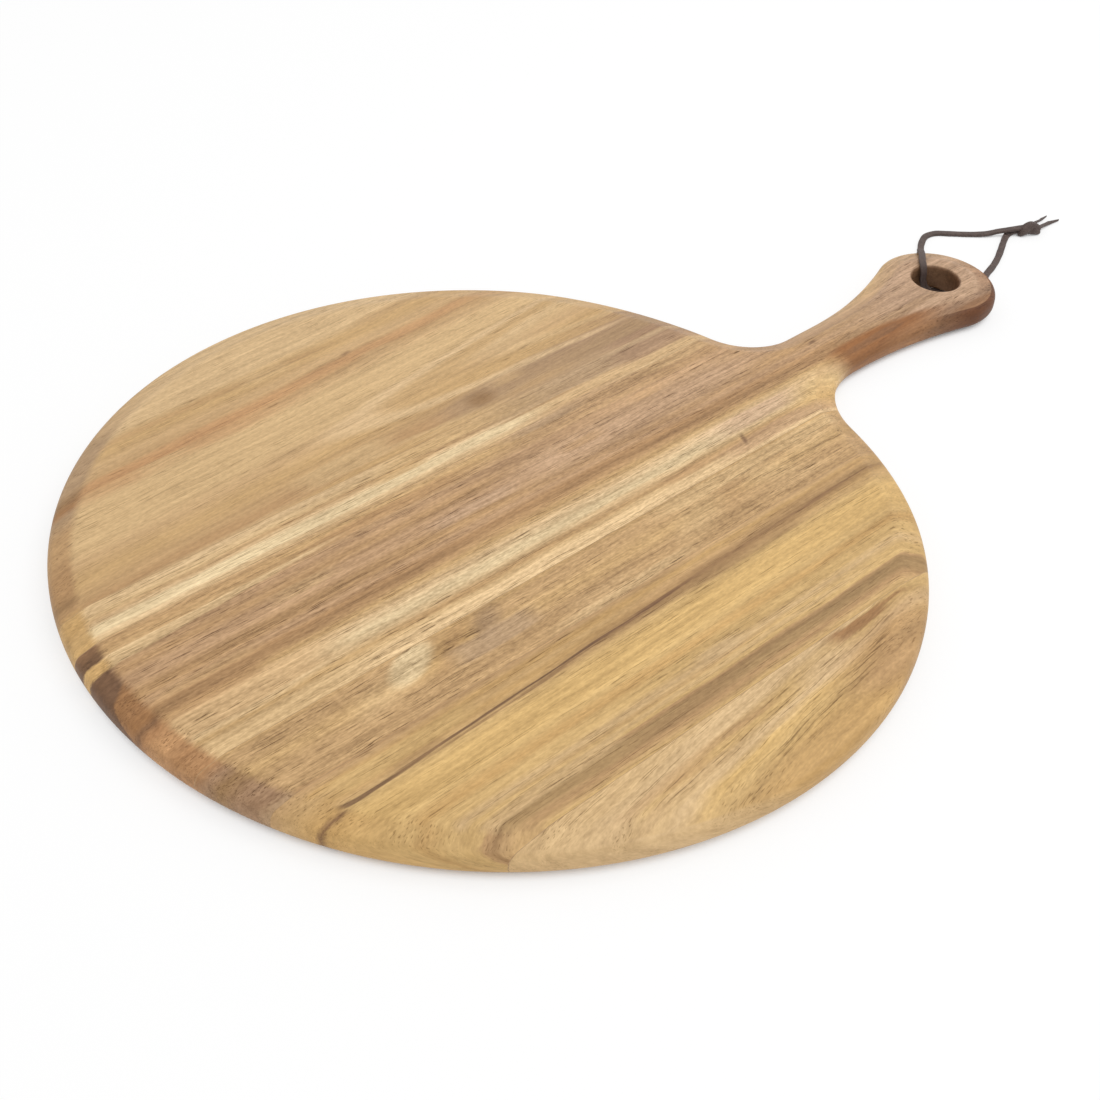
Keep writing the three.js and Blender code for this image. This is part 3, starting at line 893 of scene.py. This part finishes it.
staveLooks["narrow_stave_far"] = {
    "seed": 230, "slope": 0.0, "lean": -0.3, "wander": 0.9,
    "contrast": (1.1, 0.8), "streaks": 0.65, "figure": 0.06,
    "bands": {35: "straw", 36.6: "wheat", 38: "pale", 39.5: "cream", 43.5: "cream", 45: "pale",
              46.6: "sand", 48: "straw", 50.5: "wheat", 53: "pale", 55: "straw"},
    "ends": {35: "amber", 46: "orange", 50: "amber", 55: "orange"},
    "marks": [
        line("brown", 0.6, 47.4, 0.7, 1.0, (-110, 60, 40)),
        line("tan", 0.7, 52, 5, 2.5, (-30, 90, 30)),
        line("greyBrown", 0.85, 52.5, 12, 2.5, (10, 260, 90), -0.025),
        line("rose", 0.7, 38.2, 4.5, 2, (40, 130, 40), -0.02),
        line("cream", 0.7, 43.2, 0.7, 0.9, (40, 120, 25), -0.005),
        line("wheat", 0.5, 46.4, 2.6, 1.5, (62, 190, 30), -0.057),
        line("sand", 0.85, 41, 5, 2, (40, 200, 36)),
        line("dusky", 0.75, 47, 8, 2, (106, 200, 24)),
        line("wheat", 0.6, 53, 3, 1.5, (-190, -124, 16)),
        line("tan", 0.7, 45.5, 2.5, 1.5, (-34, 8, 16)),
        line("brown", 0.6, 44.1, 0.6, 0.9, (34, 98, 16)),
    ],
}
staveLooks["handle_stave"] = {
    "seed": 370, "slope": 0.0, "lean": 0.25, "wander": 1.0,
    "contrast": (1.35, 0.9), "streaks": 0.75, "figure": 0.09,
    "bands": {-40: "ivory", -34.5: "ivory", -32: "straw", -29: "tan", -26.5: "wheat", -22: "cream",
              -17: "pale", -13: "tan", -10: "brown", -7.5: "russet", -4.5: "russet", -1: "rose",
              3: "brown", 5.5: "brown", 10: "rose", 14: "rose", 18: "brown", 24: "rose", 29: "fawn",
              33: "tan", 36: "sand"},
    "ends": {-40: "rust", -30: "orange", -24: "russet", -17: "walnut", -15: "rust", -9: "walnut",
             -5: "umber", 21.6: "umber", 22.6: "amber", 27.4: "amber", 28.6: "umber", 36: "walnut"},
    "innerEnds": {-40: "copper", -28: "copper", -21: "redwood", -14: "copper", -10.5: "walnut",
                  -8: "rust", 14: "rust", 20: "walnut"},
    "innerEndsFrom": 15,  # beside the crease, running down to the rim at the slant
    "innerEndsSlant": 2.8,
    "marks": [
        line("wheat", 1.0, 30.7, 7.5, 0.9, (-200, -50, 6), 0.034, taper=1.0),
        line("dark", 0.45, 30.4, 0.8, 1.2, (-130, 5, 30)),
        line("brown", 0.6, 33.5, 3.0, 2, (-200, -60, 40)),
        line("dark", 0.2, 35.0, 0.6, 1.0, (-190, -20, 40)),
        line("dark", 0.3, 32.1, 0.5, 0.9, (-162, -96, 15), 0.066),
        patch("dark", 0.25, -124, 20.5, 10, 3, 0.8),
        line("rose", 0.6, 33, 7, 2.5, (15, 260, 50)),
        line("russet", 0.25, 30, 6, 3, (95, 230, 40)),
        line("dark", 0.5, 4.2, 0.5, 1.1, (-140, 20, 50)),
        line("dark", 0.4, 16.5, 0.5, 1.2, (-60, 150, 50), 0.01),
        line("dusty", 0.55, 12, 12, 6.0, (0, 190, 50)),
        line("dark", 0.45, -7.0, 1.0, 1.6, (-190, 240, 30)),
        line("cream", 0.5, -22.5, 1.8, 1.8, (-60, 150, 40)),
        line("ivory", 0.55, -36.5, 2.5, 1.5, (-70, 80, 40)),
        line("brown", 0.5, -28.6, 1.6, 1.6, (-90, 110, 30)),
        line("brown", 0.7, -30.5, 2.2, 1.8, (60, 160, 20)),
        line("rose", 0.8, -34, 5, 2, (92, 200, 24)),
        line("sand", 0.95, -20, 9, 2.5, (-200, -80, 36)),
        line("russet", 0.7, -12.5, 4, 2, (-200, -118, 14)),
        line("straw", 0.9, -36, 8, 2, (-200, -76, 40)),
        line("dusty", 0.8, -20.5, 6, 2.5, (92, 190, 40)),
        line("russet", 0.7, 30, 4.5, 2, (-84, 24, 30)),
        line("greyBrown", 0.75, 35, 4, 1.5, (28, 92, 24)),
        line("brown", 0.6, 14, 2.5, 2, (44, 80, 14)),
        line("dusty", 0.7, 9, 4, 2, (-34, 26, 16)),
        line("sand", 0.7, 14, 3.5, 2, (-108, -66, 16)),
        line("fawn", 0.6, -2.5, 3, 2, (-170, -114, 14)),
        line("brown", 0.6, -30.4, 2.5, 1.5, (60, 104, 16)),
        line("sand", 0.6, -26.5, 3, 1.5, (20, 84, 16)),
        line("brown", 0.5, 21.5, 3, 2, (94, 126, 14)),
        line("sand", 0.8, 34, 4.5, 2, (112, 170, 16)),
        patch("umber", 0.7, 119, -30, 1.2, 3.0, 0.8, 0.45),
        line("rose", 0.85, -22, 28, 5, (205, 420, 26)),
        line("greyBrown", 0.3, 0, 44, 8, (195, 420, 40)),
        line("dusk", 0.75, 0, 60, 6, (220, 420, 50)),
        line("rust", 0.7, -16.5, 7, 3, (276, 330, 14), -0.04),
        line("russet", 0.85, -8.5, 4, 3, (176, 222, 14)),
        patch("golden", 0.7, 182, -26, 20, 9, 0.7),
        line("dark", 0.5, -9, 2.0, 2.5, (196, 300, 30)),
        patch("umber", 0.7, 203, 1, 3.2, 0.9, 0.7),
    ],
    # The handle rim's tones: partly the wood's own, partly painted shade, darkest on the near facet
    "handleRim": {-40: "sienna", -30: "walnut", -24: "walnut", -16: "sienna", -8: "sienna", 0: "russet",
                  8: "rose", 18: "sand", 36: "wheat"},
    "rimMarks": [
        # the mahogany patch is painted shade at the tip's near side
        patch("mahogany", 1.0, 307, -27, 27, 14, 0.6),
        patch("copper", 0.4, 256, -20, 18, 3, 0.8),
        line("walnut", 0.5, -13.5, 1.5, 1.5, (205, 260, 15)),
    ],
    # The hole's wall, umber all round: its end grain, darkened further with painted shade
    "hole": patch("umber", 0.85, 298.9, 0.0, 12.7, 12.7, 0.05),
}
staveLooks["narrow_stave_near"] = {
    "seed": 490, "slope": 0.0, "lean": -0.3, "wander": 1.5,
    "contrast": (1.5, 1.0), "streaks": 0.5, "figure": 0.30,
    "bands": {-70: "brown", -68.4: "fawn", -58: "fawn", -52: "tan", -46: "fawn", -42: "fawn", -39: "tan"},
    "ends": {-70: "greyBrown", -66: "dusky", -58: "dusky", -50: "dark", -45: "dusky", -39: "copper"},
    "marks": [
        line("wheat", 0.7, -66.5, 2.5, 2.0, (-40, 60, 30)),
        patch("wheat", 0.4, -101, -52, 11, 6, 0.8, 1.0),
        patch("orange", 0.55, -64, -48, 15, 8, 0.7, 1.0),
        patch("russet", 0.4, -71, -53, 4, 7, 0.8, 1.1),
        patch("cream", 0.9, -83, -46.5, 10, 7, 0.35, 0.9),
        patch("russet", 0.3, -59, -44.5, 4, 4, 0.8, 0.9),
        patch("greyBrown", 0.8, -47, -48, 6, 7.5, 0.8, 0.6),
        patch("dark", 0.2, -47, -46, 5, 5, 0.9, 0.6),
        line("dark", 0.25, -59.5, 0.9, 2, (-60, 80, 25), 0.03),
        line("dark", 0.4, -64.5, 0.7, 1.5, (-150, -40, 25)),
        patch("straw", 0.6, 66, -54, 14, 8, 0.8, 1.0),
        patch("straw", 0.6, 108, -51, 12, 9, 0.8, -1.0),
        patch("brown", 0.5, 88, -50, 8, 9, 0.8, 0.8),
        patch("straw", 0.5, 140, -47, 14, 6, 0.8),
        line("straw", 0.8, -42.5, 5, 2, (42, 180, 20)),
        line("sand", 0.7, -62.5, 4, 2, (-24, 26, 16)),
        line("sand", 0.6, -62.5, 4, 2, (92, 140, 16)),
        line("greyBrown", 0.85, -54.4, 7, 2.5, (-76, -22, 14)),
    ],
}
staveLooks["broad_stave_near"] = {
    "seed": 610, "slope": 0.0, "lean": -2.2, "wander": 0.9,
    "contrast": (0.95, 0.6), "streaks": 0.5, "figure": 0.04,
    "bands": {-135: "honey", -133: "tan", -130.5: "brown", -128: "olive", -124: "olive", -122.6: "brown",
              -121.8: "honey", -118: "honey", -115: "straw", -112: "honey", -109: "honey", -106: "amber",
              -103: "honey", -98: "golden", -90: "golden", -86: "honey", -83: "tan", -79: "orange",
              -76: "tan", -73: "orange", -70.5: "fawn", -69: "brown"},
    "ends": {-135: "tan", -130: "tan", -127: "fawn", -124.6: "dark", -122.6: "brown", -121: "honey",
             -113: "honey", -108: "orange", -105: "honey", -88: "amber", -86: "walnut", -84: "amber",
             -76: "tan", -69: "fawn"},
    "marks": [
        line("dark", 0.65, -80.6, 2.4, 2.8, (-70, 190, 60), 0.024, -0.00004),
        line("umber", 0.85, -80.6, 0.5, 0.7, (-146, 40, 12), 0.024, -0.00004),
        line("umber", 0.75, -104.3, 0.7, 0.8, (-178, -130, 12), -0.14),
        line("walnut", 0.6, -80.6, 0.5, 0.9, (-30, 175, 40), 0.024, -0.00004),
        line("walnut", 0.55, -82.0, 0.3, 0.6, (-125, 10, 40), 0.024, -0.00004),
        line("brown", 0.5, -77, 1.6, 2, (-20, 175, 40), 0.02),
        line("dark", 0.35, -124.4, 0.8, 1.2, (-36, 110, 25)),
        line("dark", 0.45, -127.5, 2, 2, (-60, 20, 30)),
        line("dark", 0.6, -81, 6, 2.5, (16, 108, 24)),
        line("wheat", 0.8, -114, 4, 2, (-6, 30, 14)),
        line("dark", 0.5, -82.4, 2.6, 1.5, (-128, -92, 12)),
        line("straw", 0.8, -122, 3.2, 1.5, (-140, -44, 14)),
        line("honey", 0.85, -76.5, 5, 1.8, (-150, -74, 14)),
        patch("tan", 0.65, -110, -131.5, 9, 4, 0.8),
        line("amber", 0.6, -104.5, 1.2, 2, (-150, 80, 40), -0.006),
        line("straw", 0.6, -119.5, 1, 1.2, (-120, 110, 40)),
        line("brown", 0.35, -117.2, 0.6, 1.2, (-110, 60, 40)),
    ],
}
staveLooks["rim_stave_near"] = {
    "seed": 730, "slope": 0.11, "lean": -0.9, "wander": 2.2,
    "contrast": (1.1, 0.6), "streaks": 0.6, "figure": 0.10,
    "bands": {-180: "amber", -170: "amber", -160: "honey", -156: "golden", -152: "wheat", -148.5: "honey",
              -145: "honey", -141: "wheat", -137.5: "wheat", -134: "straw"},
    # End grain on the lower rim, made paler with a painted sheen
    "ends": {-180: "straw", -155: "wheat", -134: "straw"},
    "marks": [
        line("brown", 0.5, -145, 1.4, 2.6, (-100, 20, 40), 0.05),
        line("brown", 0.45, -150, 1.2, 2.4, (-100, 0, 40), 0.06),
        line("wheat", 0.6, -153, 2, 3, (-90, 30, 40), 0.02),
        line("rust", 0.85, -138.2, 4.4, 1.3, (42, 86, 12), taper=0.5),
        line("rust", 0.7, -136.9, 1.0, 1.1, (68, 102, 16)),
        patch("pale", 0.6, 40, -143, 14, 3.5, 0.8, 1.0),
        patch("pale", 0.6, 36, -147, 16, 4, 0.8),
        patch("russet", 0.75, 74, -152, 34, 11, 0.7, 1.0),
        patch("brown", 0.6, 56, -160, 20, 3.5, 0.8, 1.2),
        patch("orange", 0.8, 4, -172, 50, 7, 0.7, 0.5),
        line("brown", 0.55, -145.5, 0.9, 1.4, (-26, 12, 14), 0.03),
        line("brown", 0.55, -148.4, 0.9, 1.4, (-64, -26, 14), 0.03),
    ],
}


def toneRamp(value, bands):
    low, high = min(bands), max(bands)
    inputs = {"Value": value, "From Min": low, "From Max": high}
    share = addNode(value.id_data, "ShaderNodeMapRange", inputs).outputs[0]
    node = addNode(value.id_data, "ShaderNodeValToRGB", {0: share})
    stops = node.color_ramp.elements
    stops[0].position, stops[1].position = 0.0, 1.0
    for level in list(bands)[1:-1]:
        stops.new((level - low) / (high - low))
    for stop, tone in zip(stops, bands.values()):
        stop.color = linear(woodTones[tone])
    return node.outputs[0]


def addMarks(colour, marks, field):
    for mark in marks:
        place = {"Along": field["Along"], "Across": field["Across"]}
        mask = placeGroup(colour.id_data, mark["group"], {**place, **mark["values"]})["Mask"]
        colour = mixColour(times(mask, mark["strength"]), colour, linear(woodTones[mark["tone"]]))
    return colour


# The handle's rounded rim, darkened partly with painted shade, and the wall of its hole, umber with painted
# shade
def addHandleTones(colour, look, field):
    share = times(field["Edges"], ease(field["Along"], *woodLook["handleFrom"]))
    # rim tones, with painted shade on the near facet and at the tip
    rim = addMarks(toneRamp(field["Across"], look["handleRim"]), look["rimMarks"], field)
    colour = mixColour(times(share, woodLook["handleRimShare"]), colour, rim)
    # the hole's wall: end grain with painted shade
    place = {"Along": field["Along"], "Across": field["Side"]}
    wall = placeGroup(colour.id_data, grainPatch, {**place, **look["hole"]["values"]})["Mask"]
    return mixColour(times(wall, look["hole"]["strength"]), colour, linear(woodTones[look["hole"]["tone"]]))


def makeStaveMaterial(name, look):
    material, tree, shader = newMaterial(name)
    ways = ("Slope", "Lean", "Wander", "Seed")
    field = placeGroup(tree, woodField, {way: look[way.lower()] for way in ways})
    grain = placeGroup(tree, woodGrain, {"Place": field["Place"]})
    colour = addMarks(toneRamp(field["Level"], look["bands"]), look["marks"], field)
    ends = toneRamp(field["Across"], look["ends"])
    if "innerEnds" in look:
        slanted = minus(field["Across"], times(field["Depth"], look["innerEndsSlant"]))
        start, soft = look["innerEndsFrom"], woodLook["innerEndsSoft"]
        inner = ease(slanted, start - soft, start + soft, 1.0, 0.0)
        ends = mixColour(inner, ends, toneRamp(field["Across"], look["innerEnds"]))
    endSide = ease(field["Along"], *woodLook["endsReach"])
    colour = mixColour(times(field["Ends"], endSide), colour, ends)
    if "hole" in look:
        colour = addHandleTones(colour, look, field)
    inputs = {name: grain[name] for name in ("Streak", "Fibre", "Pores", "Ripple")}
    inputs.update({"Colour": colour, "Streaks": look["streaks"], "Figure": look["figure"]})
    inputs.update({"Ends": field["Ends"], "Contrast": ease(field["Edges"], 0, 1, *look["contrast"])})
    finish = placeGroup(tree, oiledFinish, inputs)
    bump = addNode(tree, "ShaderNodeBump", {**woodLook["bump"], "Height": finish["Height"]}).outputs[0]
    linkAll(shader, {"Base Color": finish["Colour"], "Roughness": finish["Roughness"], "Normal": bump})
    shader["Specular IOR Level"].default_value = woodLook["specular"]
    return material


for node, look in staveLooks.items():
    boardPieces[node].data.materials.append(makeStaveMaterial(staveNames[node] + "Wood", look))
print("staves finished")

# Glue lines: set glue between the staves, a little darker than the wood
glueLook = {
    "tone": (193, 157, 112),
    "darkTone": (166, 130, 90),
    "noise": (14, 1, 3),
    "uneven": (0.35, 0.65),
    "roughness": 0.5,
}


def makeGlueMaterial():
    material, tree, shader = newMaterial("setGlue")
    field = placeGroup(tree, woodField, {"Slope": 0.0, "Lean": 0.0, "Wander": 0.0, "Seed": 0.0})
    share = ease(grainNoise(field["Place"], *glueLook["noise"]), *glueLook["uneven"])
    colour = mixColour(share, linear(glueLook["tone"]), linear(glueLook["darkTone"]))
    linkAll(shader, {"Base Color": colour})
    shader["Roughness"].default_value = glueLook["roughness"]
    return material


setGlue = makeGlueMaterial()
for node in glueNames:
    boardPieces[node].data.materials.append(setGlue)

# Leather: grained, scuffed paler along the lace
leatherLook = {
    "tone": (78, 61, 55),
    "wornTone": (102, 85, 78),
    "darkTone": (46, 33, 29),
    "scuffScale": 0.35,  # per millimetre
    "scuffs": (0.45, 0.75),
    "creaseScale": 1.6,
    "creases": (0.5, 0.72),
    "creaseShare": 0.6,
    "pebbleScale": 3.5,
    "pebbleEdge": 0.3,
    "bump": {"Strength": 0.5, "Distance": 0.0001},
    "roughness": (0.55, 0.72),  # smooth and scuffed
}


def makeLeatherMaterial():
    material, tree, shader = newMaterial("thongLeather")
    place = inMillimetres(addNode(tree, "ShaderNodeTexCoord").outputs["Object"])
    worn = ease(noiseField(place, [leatherLook["scuffScale"]] * 3, 3), *leatherLook["scuffs"])
    creased = ease(noiseField(place, [leatherLook["creaseScale"]] * 3, 3), *leatherLook["creases"])
    colour = mixColour(worn, linear(leatherLook["tone"]), linear(leatherLook["wornTone"]))
    creased = times(creased, leatherLook["creaseShare"])
    colour = mixColour(creased, colour, linear(leatherLook["darkTone"]))
    pebbleInputs = {"Vector": place, "Scale": leatherLook["pebbleScale"]}
    cells = addNode(tree, "ShaderNodeTexVoronoi", pebbleInputs, feature="DISTANCE_TO_EDGE").outputs[0]
    pebbles = ease(cells, 0.0, leatherLook["pebbleEdge"])
    bump = addNode(tree, "ShaderNodeBump", {**leatherLook["bump"], "Height": pebbles}).outputs[0]
    roughness = ease(worn, 0.0, 1.0, *leatherLook["roughness"])
    linkAll(shader, {"Base Color": colour, "Roughness": roughness, "Normal": bump})
    return material


thongLeather = makeLeatherMaterial()
for piece in thongPieces:
    piece.data.materials.clear()
    piece.data.materials.append(thongLeather)
print("glue and leather finished")

# Pale floor with a painted contact shadow, and soft light
studio = {
    "floorSize": 6.0,
    "floorShade": 0.95,
    "floorGlow": 0.70,  # share of the floor that glows white; where it is shut in the glow is cut, painting shade under the board and in its hole
    "glowStrength": 1.05,
    "shutInReach": 0.03,
    "shutInSamples": 8,
    "shutIn": (0.05, 0.5),  # openness, from shut in to open, over which the glow gives way to the painted shade
    "whiteFrom": (0.5, 1.4),  # distance over which the floor goes over into the white behind it
    "worldLight": 0.725,
    "keyPlace": (0.5, -0.3, 1.4),
    "keySize": 1.1,
    "keyPower": 6.5,
}


def directView(tree):
    path = addNode(tree, "ShaderNodeLightPath").outputs
    seen = calc("MAXIMUM", path["Is Camera Ray"], path["Is Glossy Ray"])
    return calc("MAXIMUM", seen, path["Is Transmission Ray"])


def addFloor():
    half = studio["floorSize"] / 2
    shape = bmesh.new()
    corners = [(-half, -half, 0), (half, -half, 0), (half, half, 0), (-half, half, 0)]
    shape.faces.new([shape.verts.new(corner) for corner in corners])
    floor = makeObject("floor", shape)
    material = bpy.data.materials.new("paleFloor")
    material.use_nodes = True
    tree = material.node_tree
    tree.nodes.clear()
    shade = studio["floorShade"]
    matt = addNode(tree, "ShaderNodeBsdfDiffuse", {"Color": (shade, shade, shade, 1)}).outputs[0]
    glow = addNode(tree, "ShaderNodeEmission", {"Color": (1, 1, 1, 1), "Strength": studio["glowStrength"]})
    glow = glow.outputs[0]
    # ambient occlusion cuts the glow where the floor is shut in: a painted contact shadow under and beside
    # the board
    around = addNode(tree, "ShaderNodeAmbientOcclusion", {"Distance": studio["shutInReach"]})
    around.samples = studio["shutInSamples"]
    glowOutsidePaintedShade = ease(around.outputs["AO"], *studio["shutIn"], 0.0, studio["floorGlow"])
    spot = addNode(tree, "ShaderNodeTexCoord").outputs["Object"]
    away = vectorMath("LENGTH", {0: spot})["Value"]
    glowOutsidePaintedShade = calc("MAXIMUM", glowOutsidePaintedShade, ease(away, *studio["whiteFrom"]))
    share = times(directView(tree), glowOutsidePaintedShade)
    both = addNode(tree, "ShaderNodeMixShader", {0: share, 1: matt, 2: glow}).outputs[0]
    addNode(tree, "ShaderNodeOutputMaterial", {"Surface": both})
    floor.data.materials.append(material)


def addLight():
    world = bpy.data.worlds.new("studio")
    scene.world = world
    world.use_nodes = True
    tree = world.node_tree
    tree.nodes.clear()
    soft = addNode(tree, "ShaderNodeBackground", {"Strength": studio["worldLight"]})
    white = addNode(tree, "ShaderNodeBackground", {"Strength": 1.0})
    for sky in (soft, white):
        sky.inputs["Color"].default_value = (1, 1, 1, 1)
    skies = {0: directView(tree), 1: soft.outputs[0], 2: white.outputs[0]}
    both = addNode(tree, "ShaderNodeMixShader", skies).outputs[0]
    addNode(tree, "ShaderNodeOutputWorld", {"Surface": both})
    box = bpy.data.lights.new("softBox", "AREA")
    box.size = studio["keySize"]
    box.energy = studio["keyPower"]
    key = bpy.data.objects.new("softBox", box)
    key.location = studio["keyPlace"]
    key.rotation_euler = (-Vector(studio["keyPlace"])).to_track_quat("-Z", "Y").to_euler()
    scene.collection.objects.link(key)


addFloor()
addLight()
print("floor and light set")
